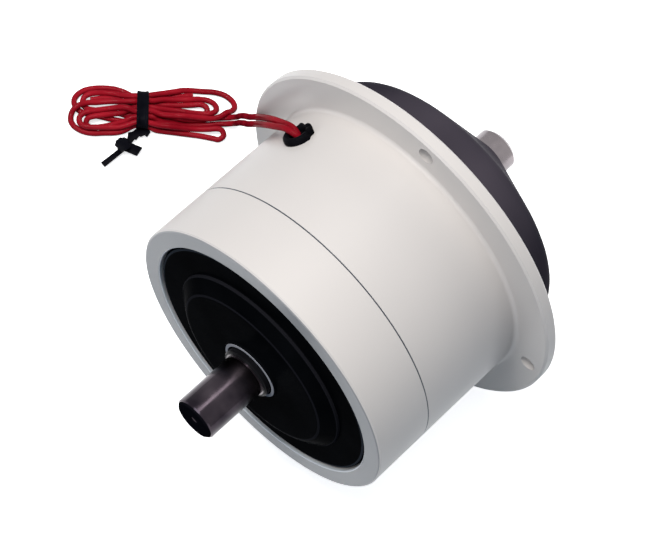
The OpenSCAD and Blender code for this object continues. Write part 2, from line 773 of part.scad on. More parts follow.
module lead_a() {
    color("crimson") tube(lead_route(1), lead_d / 2);
}

module lead_b() {
    color("crimson") tube(lead_route(-1), lead_d / 2);
}

// Places a shape on the bench at the hank's middle, with its own X along the hank
module on_hank() {
    translate([hank_at[0], hank_at[1], 0]) rotate([0, 0, hank_turn]) children();
}

// The strap of the tie, a closed band round the hank's waist, grown by a clearance
module strap(grow = 0) {
    inner_w = 2 * (hank_waist_r - grow);
    outer_w = 2 * (hank_waist_r + strap_t + grow);
    width = strap_w + 2 * grow;
    translate([-width / 2, 0, 0]) difference() {
        translate([0, -outer_w / 2, bench - grow]) cube([width, outer_w, hank_h + strap_t + grow]);
        translate([-over, -inner_w / 2, bench + strap_t + grow])
            cube([width + 2 * over, inner_w, hank_h - strap_t - grow]);
    }
}

// One lobe of the hank's outline: its circles of [x, y, radius] and the waist
module lobe(circles) {
    hull() {
        for (c = circles)
            translate([c[0], c[1]]) circle(c[2], $fn = small_fn);
        circle(hank_waist_r, $fn = small_fn);
    }
}

// The tied hank of both leads, as one solid of its outer shape
module lead_hank() {
    color("crimson") on_hank() difference() {
        translate([0, 0, bench]) linear_extrude(hank_h) {
            lobe(left_lobe);
            lobe(right_lobe);
        }
        strap(strap_play);
    }
}

// Cable tie: strap, neck, head beside the hank, and cut tail
module cable_tie() {
    color([0.07, 0.07, 0.07]) on_hank() translate([0, 0, bench]) {
        translate([0, 0, -bench]) strap();
        translate([tie_neck_at[0], tie_neck_at[1], 0]) rotate([0, 0, tie_neck_turn])
            translate([0, -tie_neck_w / 2, 0]) cube([tie_neck_l, tie_neck_w, strap_t]);
        translate([tie_head_at[0], tie_head_at[1], 0]) rotate([0, 0, tie_head_turn])
            translate([-over, -tie_head[1] / 2, 0]) cube(tie_head);
        translate([tie_tail_at[0], tie_tail_at[1], 0]) rotate([0, 0, tie_tail_turn])
            translate([-3 * over, -tie_tail_w / 2, 0]) cube([tie_tail_l, tie_tail_w, strap_t]);
    }
}

rear_housing();
front_ring();
coil_bobbin();
coil_winding();
rear_cover();
cover_screws();
cover_felt_ring();
front_disc();
front_shaft();
shaft_collar();
drum_front();
drum_middle();
drum_rear();
drum_end_plate();
drum_screws();
front_shield();
rear_shield();
magnetic_powder();
pilot_bush();
rotor();
output_shaft();
rotor_key();
rotor_spacer();
rotor_circlip();
bearing_circlip();
nose_circlip();
drum_bearing_outer();
drum_bearing_inner();
drum_bearing_balls();
drum_bearing_cage();
front_bearing_outer();
front_bearing_inner();
front_bearing_balls();
front_bearing_cage();
rear_bearing_outer();
rear_bearing_inner();
rear_bearing_balls();
rear_bearing_cage();
lead_grommet();
lead_a();
lead_b();
lead_hank();
cable_tie();
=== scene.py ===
import bpy
import math
import bmesh
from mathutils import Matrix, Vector


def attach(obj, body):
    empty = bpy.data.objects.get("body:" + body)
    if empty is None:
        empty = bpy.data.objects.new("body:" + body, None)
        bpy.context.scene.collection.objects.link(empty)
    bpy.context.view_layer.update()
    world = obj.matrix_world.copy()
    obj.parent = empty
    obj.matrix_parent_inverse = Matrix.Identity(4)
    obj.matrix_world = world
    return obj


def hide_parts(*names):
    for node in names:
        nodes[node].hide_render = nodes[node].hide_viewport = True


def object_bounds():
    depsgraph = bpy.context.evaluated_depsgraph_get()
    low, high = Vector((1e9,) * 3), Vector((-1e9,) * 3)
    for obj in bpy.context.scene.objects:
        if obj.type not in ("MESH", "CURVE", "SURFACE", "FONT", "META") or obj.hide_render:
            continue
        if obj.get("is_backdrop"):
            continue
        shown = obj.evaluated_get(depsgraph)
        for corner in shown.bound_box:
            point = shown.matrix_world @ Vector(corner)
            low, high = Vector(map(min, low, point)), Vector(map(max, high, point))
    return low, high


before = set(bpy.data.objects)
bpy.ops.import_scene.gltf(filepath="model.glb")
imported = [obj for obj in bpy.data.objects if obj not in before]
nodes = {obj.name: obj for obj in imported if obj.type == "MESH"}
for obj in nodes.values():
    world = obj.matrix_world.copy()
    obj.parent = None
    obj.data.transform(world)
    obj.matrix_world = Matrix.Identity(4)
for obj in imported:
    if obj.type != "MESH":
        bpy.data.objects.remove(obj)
scene = bpy.context.scene
scene.view_settings.view_transform = "Standard"
mm = 0.001


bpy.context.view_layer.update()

# the photograph's viewing angle, along the part's own axes
cameraLook = {
    "place": (128.027, -275.486, 593.433),  # millimetres
    "right": (0.71093, 0.69136, 0.12882),
    "up": (-0.67311, 0.61589, 0.40939),
    "lens": 112.17,
    "sensor": 36.0,
    "sees": (0.05, 10),  # nearest and furthest, in metres
}


def makeCamera(look):
    data = bpy.data.cameras.new("photoCamera")
    data.sensor_width = look["sensor"]
    data.lens = look["lens"]
    data.clip_start, data.clip_end = look["sees"]
    camera = bpy.data.objects.new("photoCamera", data)
    scene.collection.objects.link(camera)
    right = Vector(look["right"]).normalized()
    up = Vector(look["up"]).normalized()
    back = right.cross(up).normalized()
    up = back.cross(right)
    matrix = camera.matrix_world.to_3x3()
    matrix.col[0], matrix.col[1], matrix.col[2] = right, up, back
    camera.matrix_world = matrix.to_4x4()
    camera.location = Vector(look["place"]) * mm
    scene.camera = camera


makeCamera(cameraLook)
print("camera placed")


def newObject(name, data):
    # every piece made here sits still on the housing
    piece = bpy.data.objects.new(name, data)
    scene.collection.objects.link(piece)
    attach(piece, "stator")
    return piece


def turned(x, y, angle):
    return x * math.cos(angle) - y * math.sin(angle), x * math.sin(angle) + y * math.cos(angle)


def smoothLine(points, step, least=1e-6):
    # a rounded line through the points, with a point about every step
    line = []
    count = len(points)
    for k in range(count - 1):
        a = points[max(k - 1, 0)]
        b = points[k]
        c = points[k + 1]
        d = points[min(k + 2, count - 1)]
        ab, bc, cd = [math.sqrt(max(gap.length, least)) for gap in (b - a, c - b, d - c)]
        leave = arrive = (c - b) / bc
        if k > 0:
            leave = leave - (c - a) / (ab + bc) + (b - a) / ab
        if k < count - 2:
            arrive = arrive - (d - b) / (bc + cd) + (d - c) / cd
        leave, arrive = leave * bc, arrive * bc
        parts = max(1, round((c - b).length / step))
        for n in range(parts):
            t = n / parts
            line.append((2 * t**3 - 3 * t**2 + 1) * b + (t**3 - 2 * t**2 + t) * leave
                        + (3 * t**2 - 2 * t**3) * c + (t**3 - t**2) * arrive)
    line.append(points[-1])
    return line


def lineLength(line):
    return sum((b - a).length for a, b in zip(line, line[1:]))


# the lead wires, from the grommet over the flange's edge to the tied hank on the bench
leadLook = {
    "diameter": 2.1,
    "gap": 1.2,  # from the pair's middle line to each lead
    "roundness": 4,
    "step": 0.8,
}

# the pair's middle line and its turn, as in the CAD source
pairRoute = [
    (-32, -18, 32), (-33.5, -18, 33.5), (-35, -18, 35), (-37, -18, 36.2), (-39.4, -18, 36.2),
    (-41.4, -17.8, 35), (-43.5, -17.6, 32.9), (-45.5, -17.4, 30.7),
    (-47.3, -17.2, 28.7), (-48.8, -16.8, 26.6), (-50.4, -16.3, 24.1), (-52.6, -15.1, 19.9),
    (-54.8, -13.2, 14.6), (-57.6, -10.9, 8), (-60.5, -8.8, 1.5), (-63.3, -6.9, -4.8),
    (-66.2, -4.6, -11.4), (-69, -1.8, -18.4), (-71.8, 1.1, -25.7), (-74.6, 4.1, -33.2),
    (-77.2, 7, -40.4), (-79.7, 9.6, -47.2), (-81.6, 11.6, -52.5), (-83, 13, -56.4),
    (-83.9, 13.5, -58.4), (-85.4, 13.1, -60.2), (-87, 12, -61.4), (-88.7, 10.4, -61.9),
    (-91, 7.5, -62.1), (-93, 5, -62.1)]
pairTurn = [75, 75, 75, 75, 75, 72, 62, 52, 44, 38, 34, 30, 26, 22, 18, 15, 12, 10, 8, 6, 6, 6,
            8, 12, 15, 18, 21, 24, 24, 24]
pairUp = Vector((-0.67, 0.62, 0.41))

# the hank on the bench: its middle, its turn, and how a point moves with its height
# so that it keeps its place for the camera
hankMiddle = Vector((-109.5, -7.6, 0))
hankTurn = math.radians(45)
hankDrift = Vector((0.2255, -0.4182, 1))
hankPlane = -60  # the height at which a point keeps its own place

# each lead in the hank: along the hank, across it, and height
hankA = [
    (20.8, -2.7, -61.2), (16.2, -3, -60.5), (12.6, -2.6, -60.4), (9.9, -2, -61.3), (6.4, -2, -62.4),
    (3.7, -1.3, -61.9), (1, -1.5, -61.3), (-2.5, -1.8, -61.3), (-6, -2.4, -62.2), (-8.9, -1.7, -62.4),
    (-13.4, -1.5, -62.4), (-17.1, -0.9, -62.4), (-19.9, -0.4, -62.4), (-21.6, 1.3, -62.4),
    (-21.3, 3.9, -61.9), (-19.7, 5.3, -61.6), (-16.8, 6.1, -61.8), (-14, 6.3, -62.2), (-10.4, 6.1, -62.1),
    (-6.9, 5.5, -61.1), (-4.4, 5.4, -59.7), (-1.3, 5.3, -58.9), (0.6, 4.1, -59), (3.1, 3.8, -59.7),
    (7.1, 4.7, -61), (11.5, 4.9, -61.4), (15.8, 5.2, -61.5), (19.3, 5.6, -61.9), (22.8, 5.3, -62.1),
    (25.1, 4.1, -61.8), (26.1, 2.3, -61.2), (25.8, 0.8, -60.4), (23.8, -0.2, -59.7), (20.4, -0.4, -60.3),
    (16.8, -0.1, -61.6), (13.3, 0.4, -62.4), (8.9, 0.6, -62.2), (4.7, 0.9, -61), (2.2, 1.1, -59.7),
    (-0.6, 0.9, -59.5), (-4.2, 0.1, -60.3), (-7.5, -1.5, -60.4), (-11.9, -2.4, -60.4), (-14.8, -3, -60.2),
    (-17.2, -3.5, -60.2), (-19.4, -4.4, -60.7), (-20.1, -6.6, -61.9), (-18.2, -8.1, -62.4),
    (-16, -7.7, -62.4), (-13, -7, -62.4), (-9.5, -6, -61.6), (-6, -4.7, -60.2), (-3.4, -3.2, -59.3),
    (-0.1, -2.9, -59.2), (3.1, -2.6, -60.3), (4.4, -3.4, -61.8), (6.6, -4.2, -62.4), (11, -4.1, -62.4),
    (15.4, -3.1, -62.4), (18.9, -2.2, -62.4), (21, -1.3, -62.4), (22.6, 0, -62.2), (22.5, 2.3, -61.6),
    (20.6, 3.4, -61.5), (17.4, 3.1, -62.1), (12.8, 2.7, -62.4), (8.4, 2.6, -62.4), (4.8, 2.3, -62.3),
    (2.4, 1.8, -61.5), (-0.4, 1.1, -61.3), (-3.4, 1.8, -61.4), (-5.8, 2.8, -62.1), (-9.3, 3.6, -62.4),
    (-13.8, 4.1, -62.4), (-18.1, 3.4, -62.4), (-19, 3.2, -62.4)]
hankB = [
    (19.1, -5, -62.4), (14.6, -5.3, -62.2), (10.1, -5.1, -61.1), (6.6, -5.2, -61.1), (3.5, -5.2, -61.7),
    (0.8, -3.9, -61.3), (-2.9, -4, -61.3), (-6.4, -4.8, -62.3), (-10.9, -4.3, -62.4), (-15.3, -3.4, -62.4),
    (-18.8, -2.8, -62.4), (-22.1, -1.8, -62.4), (-24, -0.2, -62.4), (-24.8, 2, -62.4), (-24.2, 4.3, -62.4),
    (-21.7, 6.7, -62.4), (-18.3, 7.9, -62.4), (-13.8, 8.3, -62.4), (-10.2, 8, -62.4), (-6.8, 6.9, -62.3),
    (-4.2, 5.5, -61.6), (-2.2, 4.8, -61.2), (0.4, 5.3, -60.1), (2.4, 6, -59.7), (7, 7.1, -60.4),
    (11.3, 8.1, -60.6), (13.8, 8.8, -61.4), (16.4, 9, -62.3), (20.9, 8.9, -62.4), (25.3, 8.8, -62.4),
    (28.7, 7.9, -62.4), (30.8, 6.5, -62.4), (32.3, 4.6, -62.2), (32.5, 2.5, -61.6), (31.2, 1.1, -60.5),
    (29.8, 0.5, -59.5), (27.6, -1.2, -59.8), (24.2, -2.3, -59.9), (21.5, -2.2, -59.1), (17, -2, -58.5),
    (13.4, -1.8, -58.3), (9.7, -1.7, -59.2), (6.3, -1.4, -60.1), (3, -0.4, -59), (0.2, -0.7, -58.9),
    (-2.7, -0.7, -58.9), (-5.3, 0.4, -58.3), (-8.1, 0.5, -59), (-11.7, -0.1, -60.2), (-16.1, -1, -60.1),
    (-19, -1.7, -59.8), (-20.9, -2.5, -60), (-22.4, -4.4, -60.5), (-22, -6.7, -60.8), (-19.6, -7.9, -60.6),
    (-16.5, -7.9, -60.5), (-11.9, -7.7, -60.8), (-8.3, -7.4, -60.6), (-4.7, -6.2, -59.7), (-1.9, -5, -59.2),
    (1.5, -5, -59.2), (5.6, -5.9, -59.7), (10, -6.3, -59.9), (14.4, -6.6, -60.9), (18.8, -6.6, -61.7),
    (23.5, -6.4, -61.2), (26, -6.1, -60.8), (28, -6.5, -60.8), (28.8, -8.6, -61.7), (27, -10.3, -62.4),
    (24.9, -10, -62.4), (19.9, -9.2, -62.4), (15.4, -8.8, -62.4), (11, -8.4, -62.4), (7.4, -8.1, -62.4),
    (4.4, -7.7, -62.1), (1.2, -6, -61.3), (-1.5, -5.9, -61.3), (-3.9, -6.8, -61.5), (-6.8, -8.6, -62.3),
    (-9.6, -9.5, -62.4), (-14.1, -9.9, -62.4), (-17.7, -10.2, -62.4), (-21.3, -9.6, -62.4),
    (-24.3, -7.8, -62.4), (-25.6, -5.6, -62.4), (-25.5, -3.1, -61.9), (-24.2, -0.6, -60.7), (-22, 1, -60.4),
    (-19.5, 1.9, -60.8), (-16.8, 2.2, -61.5), (-12.4, 2.8, -61.3), (-8, 3, -60.6), (-5.3, 3.1, -59.9),
    (-2.6, 3.3, -59.6), (-0.8, 3.1, -60.8), (1.9, 4, -61.3), (4.9, 5.1, -62.3), (8.1, 5.9, -62.4),
    (12.3, 6.3, -62.4), (16.7, 6.9, -62.4), (17.5, 7, -62.4)]


def sideOf(heading, degrees):
    across = heading.cross(pairUp).normalized()
    turn = math.radians(degrees)
    return math.cos(turn) * across.cross(heading) + math.sin(turn) * across


def leadRoute(side):
    points = [Vector(p) for p in pairRoute]
    route = []
    for k, point in enumerate(points):
        ahead = points[min(k + 1, len(points) - 1)]
        behind = points[max(k - 1, 0)]
        heading = (ahead - behind).normalized()
        route.append(point + side * leadLook["gap"] * sideOf(heading, pairTurn[k]))
    return route


def onBench(along, across, height):
    flat = Vector((*turned(along, across, hankTurn), hankPlane))
    return hankMiddle + flat + (height - hankPlane) * hankDrift


def makeLead(name, node, side, hank):
    points = leadRoute(side)[:-1] + [onBench(*p) for p in hank]
    line = [p * mm for p in smoothLine(points, leadLook["step"])]
    data = bpy.data.curves.new(name, "CURVE")
    data.dimensions = "3D"
    spline = data.splines.new("POLY")
    spline.points.add(len(line) - 1)
    for spot, point in zip(spline.points, line):
        spot.co = (*point, 1)
        # the thickness is in the points' own radius, so that the curve's box is as large as the lead
        spot.radius = leadLook["diameter"] / 2 * mm
    spline.use_smooth = True
    data.bevel_depth = 1
    data.bevel_resolution = leadLook["roundness"]
    data.use_fill_caps = True
    wire = newObject(name, data)
    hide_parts(node, "lead_hank")
    print(name, "length", round(lineLength(line) * 1000), "mm")
    return wire


leads = [makeLead("leadA", "lead_a", 1, hankA), makeLead("leadB", "lead_b", -1, hankB)]

# the cable tie: strap round the hank's waist, serrated neck, knot with its stub, and cut tail;
# corners are along and across the hank as above, then the height from and to
tieLook = {
    "strapMiddle": -0.15,
    "strapWidth": 4.2,
    "strapInside": (6.45, -62.35, -58.0),  # half width, bottom and top of the bundle
    "strapThickness": 1.0,
    "strapCorner": 2.3,
    # half of the strap's section and its outside, as shares of the width and the thickness
    "strapProfile": [(-0.5, 0), (-0.5, 0.85), (-0.42, 1), (-0.3, 1), (-0.24, 0.82), (0.24, 0.82), (0.3, 1),
                     (0.42, 1), (0.5, 0.85), (0.5, 0)],
    "neck": ([(-5.2, -9.2), (-3.6, -8.7), (-2, -7), (2, -7), (2.7, -8.6), (1.5, -10.8), (0.6, -10),
              (-0.8, -10.8), (-1.3, -10.5), (-2.3, -12.1), (-2.9, -11.9), (-3.9, -13.4), (-5.6, -12.7)],
             -62.9, -61.7),
    "stub": ([(-4.6, -13.1), (0.1, -15), (-1.75, -18.4), (-6.4, -16.5)], -61.8, -60.7),
    "stubUnder": ([(-4.6, -13.3), (-0.1, -15.1), (-1.9, -18.5), (-6.4, -16.7)], -63.1, -62),
    "tail": ([(-7.6, -15.2), (-6.35, -16.7), (-13.1, -23.4), (-14.5, -21.7)], -63, -61.9),
    "knot": (-6.6, -14.2),
    "knotCorner": 0.9,
    # the knot's turns, one over the other: length, width, degrees, height from and to
    "knotTurns": [(5.2, 4.4, 18, -63.4, -62), (5.4, 4.3, -27, -61.9, -60.5), (4.9, 4.3, -62, -60.4, -59.1)],
    "edge": 0.16,
}


def joinRings(mesh, rings):
    count = len(rings[0])
    for first, second in zip(rings, rings[1:]):
        for k in range(count):
            n = (k + 1) % count
            mesh.faces.new((first[k], first[n], second[n], second[k]))


def prism(mesh, outline, low, high):
    rings = [[mesh.verts.new(onBench(x, y, z) * mm) for x, y in outline] for z in (low, high)]
    joinRings(mesh, rings)
    mesh.faces.new(rings[0][::-1])
    mesh.faces.new(rings[1])


def roundedRectangle(halfX, halfZ, corner, steps=6):
    points = []
    for quarter, (sx, sz) in enumerate(((1, 1), (-1, 1), (-1, -1), (1, -1))):
        for k in range(steps + 1):
            turn = math.radians(90 * (quarter + k / steps))
            points.append((sx * (halfX - corner) + corner * math.cos(turn),
                           sz * (halfZ - corner) + corner * math.sin(turn)))
    return points


def finishMesh(mesh, name, edge=0.0, bevelFrom=0.5, smooth=40):
    # edges sharper than bevelFrom, in radians, are rounded; smooth is in degrees
    bmesh.ops.recalc_face_normals(mesh, faces=mesh.faces)
    if edge:
        sharp = [e for e in mesh.edges if len(e.link_faces) == 2 and e.calc_face_angle() > bevelFrom]
        bmesh.ops.bevel(mesh, geom=sharp, offset=edge * mm, segments=2, profile=0.5, affect="EDGES")
    data = bpy.data.meshes.new(name)
    mesh.to_mesh(data)
    mesh.free()
    data.shade_smooth()
    data.set_sharp_from_angle(angle=math.radians(smooth))
    return newObject(name, data)


def makeTie(look):
    mesh = bmesh.new()
    # the strap, swept round the bundle; its outer face is a little lower between its edges
    half, bottom, top = look["strapInside"]
    middle = hankMiddle + Vector((0, 0, (bottom + top) / 2))
    rings = []
    for along, out in look["strapProfile"]:
        grow = out * look["strapThickness"]
        shape = roundedRectangle(half + grow, (top - bottom) / 2 + grow, look["strapCorner"] + grow)
        place = look["strapMiddle"] + along * look["strapWidth"]
        rings.append([mesh.verts.new((middle + Vector((*turned(place, x, hankTurn), z))) * mm)
                      for x, z in shape])
    joinRings(mesh, rings + rings[:1])
    for part in ("neck", "stub", "stubUnder", "tail"):
        prism(mesh, *look[part])
    for long, wide, degrees, low, high in look["knotTurns"]:
        shape = roundedRectangle(long / 2, wide / 2, look["knotCorner"], steps=2)
        places = [turned(x, y, math.radians(degrees)) for x, y in shape]
        prism(mesh, [(look["knot"][0] + x, look["knot"][1] + y) for x, y in places], low, high)
    tie = finishMesh(mesh, "cableTie", look["edge"])
    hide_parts("cable_tie")
    return tie


tie = makeTie(tieLook)

# the grommet: a lipped ring, lumpy on the side away from the leads, round a hollow that they fill
grommetLook = {
    # on the side wall: distance from the flange's back, degrees from the top, the wall's radius
    "at": 18, "angle": 45, "bodyRadius": 51,
    "sides": 72,
    "profile": [(2.55, -0.9), (2.6, 0.9), (2.85, 1.6), (3.3, 2.05), (3.9, 2.2), (4.4, 2.1), (4.8, 1.7),
                (5.0, 1.1), (5.0, 0.3), (4.85, -0.6)],
    # lumps outside a radius and between two angles: depth, how deep the dents are, how much they lift
    "lumps": 9, "lumpDepth": 0.34, "lumpsFrom": -75, "lumpsTo": 105, "lumpsOutside": 3.5,
    "dent": 0.4, "lift": 0.5,
    "hollow": (2.57, 0.2),  # radius and height of the bottom of the hollow
}


def makeGrommet(look):
    mesh = bmesh.new()
    turn = math.radians(look["angle"])
    out = Vector((-math.sin(turn), 0, math.cos(turn)))
    back = Vector((0, 1, 0))
    across = back.cross(out)
    centre = Vector((0, -look["at"], 0)) + look["bodyRadius"] * out

    def vertexAt(radius, degrees, height):
        angle = math.radians(degrees)
        away = radius * (math.sin(angle) * across + math.cos(angle) * back)
        return mesh.verts.new((centre + away + height * out) * mm)

    directions = [360 * k / look["sides"] - 90 for k in range(look["sides"])]
    rings = []
    for radius, height in look["profile"]:
        ring = []
        for degrees in directions:
            lump = 0
            if look["lumpsFrom"] < degrees < look["lumpsTo"] and radius > look["lumpsOutside"]:
                wave = math.sin(look["lumps"] * math.radians(degrees))
                lump = look["lumpDepth"] * (wave - look["dent"])
            ring.append(vertexAt(radius + lump, degrees, height + look["lift"] * lump))
        rings.append(ring)
    joinRings(mesh, rings)
    hollowRadius, hollowHeight = look["hollow"]
    mesh.faces.new([vertexAt(hollowRadius, degrees, hollowHeight) for degrees in directions])
    mesh.faces.new(rings[0][::-1])
    mesh.faces.new(rings[-1])
    grommet = finishMesh(mesh, "leadGrommet")
    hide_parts("lead_grommet")
    return grommet


grommet = makeGrommet(grommetLook)
print("tie and grommet made")

# one finish for every surface of the clutch: colours of its light and dark patches, how many patches
# to a metre, roughness from and to, shine, metal, grain (how many to a metre, strength), lathe grooves
# (pitch in millimetres, strength), and zones of another colour: station along the axis from and to,
# radius from and to, colour
finishes = {
    "housingPaint": {"light": (0.655, 0.62, 0.592), "dark": (0.605, 0.575, 0.555), "patch": 9,
                     "rough": (0.36, 0.46), "shine": 0.4, "grain": (700, 0.06), "turned": (0.5, 0.01),
                     # painted shade: the ring's front face is painted a darker bluish grey than the rest of
                     # the housing
                     "zones": {"turnedFront": ((-80, -66.2), (0, 80), (0.27, 0.275, 0.285)),
                               # painted highlight: a light bluish band round the edge of the ring's mouth
                               "mouthEdgeHighlight": ((-80, -65.4), (0, 44.6), (0.62, 0.65, 0.68)),
                               # painted shade: a dark band along the seam between the housing's halves
                               "seamShade": ((-45.1, -44.7), (0, 80), (0.07, 0.08, 0.10)),
                               # painted light: the flange is painted lighter than the rest of the housing
                               "flange": ((0, 80), (51.4, 80), (0.82, 0.77, 0.755))}},
    "discPaint": {"light": (0.0032, 0.0036, 0.0044), "dark": (0.001, 0.0013, 0.0018), "patch": 45,
                  "rough": (0.16, 0.26), "shine": 0.0002, "grain": (500, 0.05), "turned": (0.8, 0.05),
                  # painted highlights: light bands on the lip round the hub and on the edges of the dome and
                  # the rim
                  "zones": {"lip": ((-80, -70.4), (9.35, 10.5), (0.34, 0.34, 0.37)),
                            "domeFootHighlight": ((-80, -60), (33.4, 33.9), (0.013, 0.013, 0.016)),
                            "domeEdgeHighlight": ((-80, -60), (28.2, 29.0), (0.011, 0.011, 0.014)),
                            "rimEdgeHighlight": ((-80, -60), (42.7, 43.4), (0.03, 0.034, 0.042))}},
    "coverPaint": {"light": (0.085, 0.073, 0.090), "dark": (0.020, 0.018, 0.026), "patch": 12,
                   "rough": (0.34, 0.46), "shine": 0.0008, "grain": (650, 0.14)},
    "frontShaftSteel": {"light": (0.085, 0.070, 0.082), "dark": (0.020, 0.016, 0.022), "patch": 60,
                        "rough": (0.12, 0.2), "metal": 1, "shine": 0, "grain": (260, 0.03),
                        "turned": (0.25, 0.04),
                        # painted shade: the end face is painted black and has no metal shine
                        "zones": {"end": ((-99, -94.15), (0, 9), (0.004, 0.004, 0.006))},
                        "notMetal": "end"},
    "rearShaftSteel": {"light": (0.33, 0.295, 0.305), "dark": (0.19, 0.17, 0.18), "patch": 60,
                       "rough": (0.2, 0.32), "metal": 1, "grain": (260, 0.05), "turned": (0.25, 0.05)},
    "collarBlack": {"light": (0.010, 0.010, 0.012), "dark": (0.005, 0.005, 0.006), "patch": 80,
                    "rough": (0.2, 0.32), "shine": 0.02, "grain": (300, 0.05), "turned": (0.3, 0.04)},
    "machinedSteel": {"light": (0.56, 0.56, 0.57), "dark": (0.42, 0.42, 0.43), "patch": 50,
                      "rough": (0.25, 0.4), "metal": 1, "grain": (300, 0.04), "turned": (0.35, 0.06)},
    "springSteel": {"light": (0.11, 0.11, 0.12), "dark": (0.06, 0.06, 0.065), "patch": 90,
                    "rough": (0.3, 0.42), "metal": 1, "grain": (400, 0.05)},
    "bearingSteel": {"light": (0.66, 0.66, 0.67), "dark": (0.54, 0.54, 0.56), "patch": 70,
                     "rough": (0.1, 0.2), "metal": 1, "grain": (300, 0.02), "turned": (0.2, 0.02)},
    "cageBrass": {"light": (0.70, 0.47, 0.17), "dark": (0.50, 0.32, 0.10), "patch": 70,
                  "rough": (0.24, 0.38), "metal": 1, "grain": (350, 0.05)},
    "middleBronze": {"light": (0.62, 0.40, 0.18), "dark": (0.46, 0.28, 0.12), "patch": 50,
                     "rough": (0.25, 0.4), "metal": 1, "grain": (300, 0.05), "turned": (0.35, 0.06)},
    "windingCopper": {"light": (0.64, 0.26, 0.12), "dark": (0.40, 0.13, 0.06), "patch": 90,
                      "rough": (0.25, 0.36), "metal": 0.9, "grain": (300, 0.03), "turned": (0.45, 0.5)},
    "bobbinNylon": {"light": (0.74, 0.71, 0.60), "dark": (0.66, 0.62, 0.50), "patch": 25,
                    "rough": (0.4, 0.5), "grain": (500, 0.06)},
    "ironPowder": {"light": (0.09, 0.085, 0.085), "dark": (0.03, 0.03, 0.03), "patch": 700,
                   "rough": (0.6, 0.8), "metal": 0.5, "grain": (1500, 0.6)},
    "wornFelt": {"light": (0.42, 0.34, 0.22), "dark": (0.24, 0.19, 0.12), "patch": 400,
                 "rough": (0.85, 0.95), "grain": (1600, 0.7)},
    "grommetRubber": {"light": (0.006, 0.006, 0.008), "dark": (0.003, 0.003, 0.004), "patch": 120,
                      "rough": (0.3, 0.45), "shine": 0.006, "grain": (450, 0.1)},
    "leadRed": {"light": (0.36, 0.009, 0.020), "dark": (0.22, 0.003, 0.010), "patch": 70,
                "rough": (0.17, 0.24), "shine": 0, "grain": (450, 0),
                # a thin gloss, but none where the leads drop to the bench
                "gloss": {"weight": 0.09, "rough": 0.1, "noneHeight": (-54, 8)}},
    "tieNylon": {"light": (0.006, 0.006, 0.009), "dark": (0.003, 0.003, 0.005), "patch": 140,
                 "rough": (0.16, 0.26), "shine": 0.01, "grain": (500, 0.05)},
}


def addNode(tree, kind, **values):
    node = tree.nodes.new(kind)
    for key, value in values.items():
        if key in node.inputs:
            node.inputs[key].default_value = value
        else:
            setattr(node, key, value)
    return node


def mixColour(tree, factor, first, second):
    mix = addNode(tree, "ShaderNodeMix", data_type="RGBA")
    # inputs 6 and 7 and output 2 are the node's colour sockets
    for socket, value in ((mix.inputs[6], first), (mix.inputs[7], second)):
        if isinstance(value, tuple):
            socket.default_value = (*value, 1)
        else:
            tree.links.new(value, socket)
    tree.links.new(factor, mix.inputs[0])
    return mix.outputs[2]


def noiseAt(tree, coords, scale, detail=2):
    noise = addNode(tree, "ShaderNodeTexNoise", Scale=scale, Detail=detail)
    tree.links.new(coords, noise.inputs["Vector"])
    return noise.outputs["Fac"]


def spread(tree, value, low, high, fromLow=0.35, fromHigh=0.65):
    # noise seldom leaves the range from 0.35 to 0.65, so that is stretched from low to high
    node = addNode(tree, "ShaderNodeMapRange")
    tree.links.new(value, node.inputs["Value"])
    limits = {"From Min": fromLow, "From Max": fromHigh, "To Min": low, "To Max": high}
    for socketName, number in limits.items():
        node.inputs[socketName].default_value = number
    return node.outputs["Result"]


def bumpOver(tree, height, strength, distance, under=None):
    bump = addNode(tree, "ShaderNodeBump", Strength=strength, Distance=distance * mm)
    tree.links.new(height, bump.inputs["Height"])
    if under is not None:
        tree.links.new(under, bump.inputs["Normal"])
    return bump.outputs["Normal"]


def placeOnClutch(tree, coords):
    # station along the axis, radius from it, and height
    split = addNode(tree, "ShaderNodeSeparateXYZ")
    tree.links.new(coords, split.inputs[0])
    flat = addNode(tree, "ShaderNodeCombineXYZ")
    tree.links.new(split.outputs["X"], flat.inputs["X"])
    tree.links.new(split.outputs["Z"], flat.inputs["Z"])
    radius = addNode(tree, "ShaderNodeVectorMath", operation="LENGTH")
    tree.links.new(flat.outputs[0], radius.inputs[0])
    return split.outputs["Y"], radius.outputs["Value"], split.outputs["Z"]


def calculate(tree, operation, first, second):
    node = addNode(tree, "ShaderNodeMath", operation=operation)
    for socket, value in zip(node.inputs, (first, second)):
        if isinstance(value, (int, float)):
            socket.default_value = value
        else:
            tree.links.new(value, socket)
    return node.outputs[0]


def isBetween(tree, value, limits):
    # 1 between the limits, in millimetres
    above = calculate(tree, "GREATER_THAN", value, limits[0] * mm)
    return calculate(tree, "MULTIPLY", above, calculate(tree, "LESS_THAN", value, limits[1] * mm))


# what all finishes share: detail of the patches and of the wear, how much finer the wear is,
# depth of grain and grooves in millimetres
surfaceLook = {"patchDetail": 3, "wearDetail": 4, "wearFiner": 2.3, "grainDepth": 0.1, "grooveDepth": 0.05}


